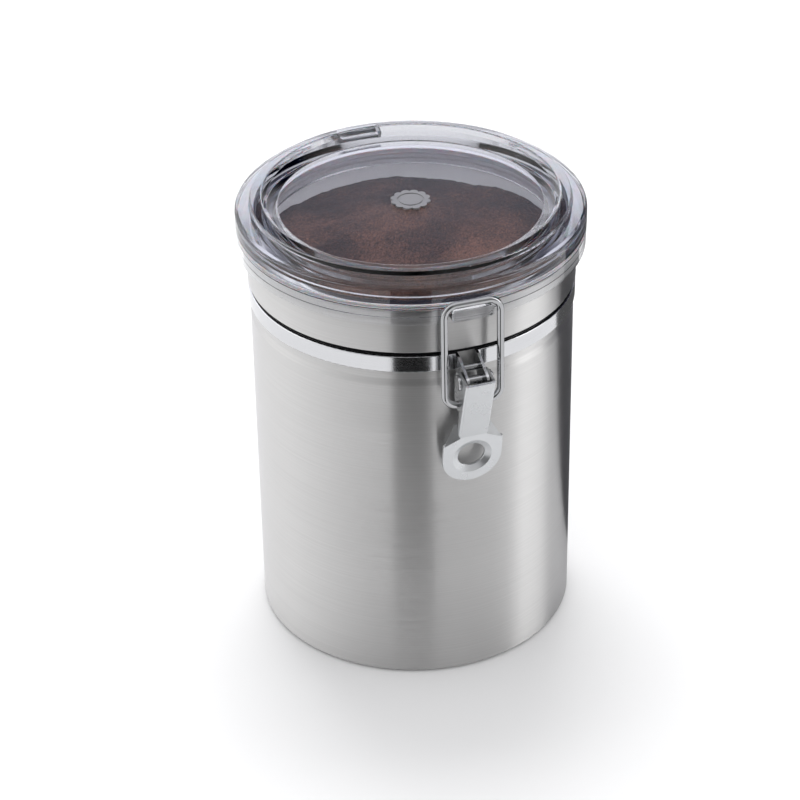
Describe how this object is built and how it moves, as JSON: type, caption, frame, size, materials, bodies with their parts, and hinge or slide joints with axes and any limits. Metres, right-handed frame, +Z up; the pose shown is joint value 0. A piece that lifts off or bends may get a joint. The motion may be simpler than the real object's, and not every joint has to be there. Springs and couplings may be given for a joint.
{
  "type": "food canister",
  "caption": "Round brushed-steel canister with a clear hinged lid, silicone gasket and over-centre wire-bail clamp for dry food.",
  "frame": {"origin": "centre of the flat base, on the can's axis", "axes": "+Z up along the can's axis, -Y towards the clamp, +Y towards the hinge"},
  "size_m": [0.1286, 0.1471, 0.1744],
  "materials": {
    "satin_steel": "satin, brushed round the can",
    "polished_steel": "polished",
    "plated_steel": "bright nickel-chrome plate",
    "clear_acrylic": "clear, polished",
    "silicone": "matte, translucent",
    "badge_metal": "matte",
    "ground_coffee": "granular, dry; used only by the visual contents"
  },
  "bodies": {
    "can": {"can_body": "satin_steel", "base_disc": "satin_steel", "neck_band": "polished_steel", "strap_rivet": "polished_steel", "lever_pin": "polished_steel", "hinge_bracket": "plated_steel", "bracket_rivets": "polished_steel", "hinge_pin": "polished_steel"},
    "lid": {"lid": "clear_acrylic", "gasket": "silicone", "badge": "badge_metal"},
    "lever": {"lever": "plated_steel"},
    "bail": {"bail": "plated_steel"}
  },
  "joints": [
    {"name": "lid_hinge", "type": "hinge", "parent": "can", "child": "lid", "pos_m": [0, 0.068, 0.158], "axis": [-1, 0, 0], "range_deg": [0, 105]},
    {"name": "lever_pivot", "type": "hinge", "parent": "can", "child": "lever", "pos_m": [0, -0.0683, 0.1334], "axis": [-1, 0, 0], "range_deg": [0, 96]},
    {"name": "bail_pivot", "type": "hinge", "parent": "lever", "child": "bail", "pos_m": [0, -0.0668, 0.1234], "axis": [-1, 0, 0], "range_deg": [-120, 0]}
  ],
  "couplings": [
    {"joint": "bail_pivot", "follows": "lever_pivot", "ratio": -1.2}
  ]
}
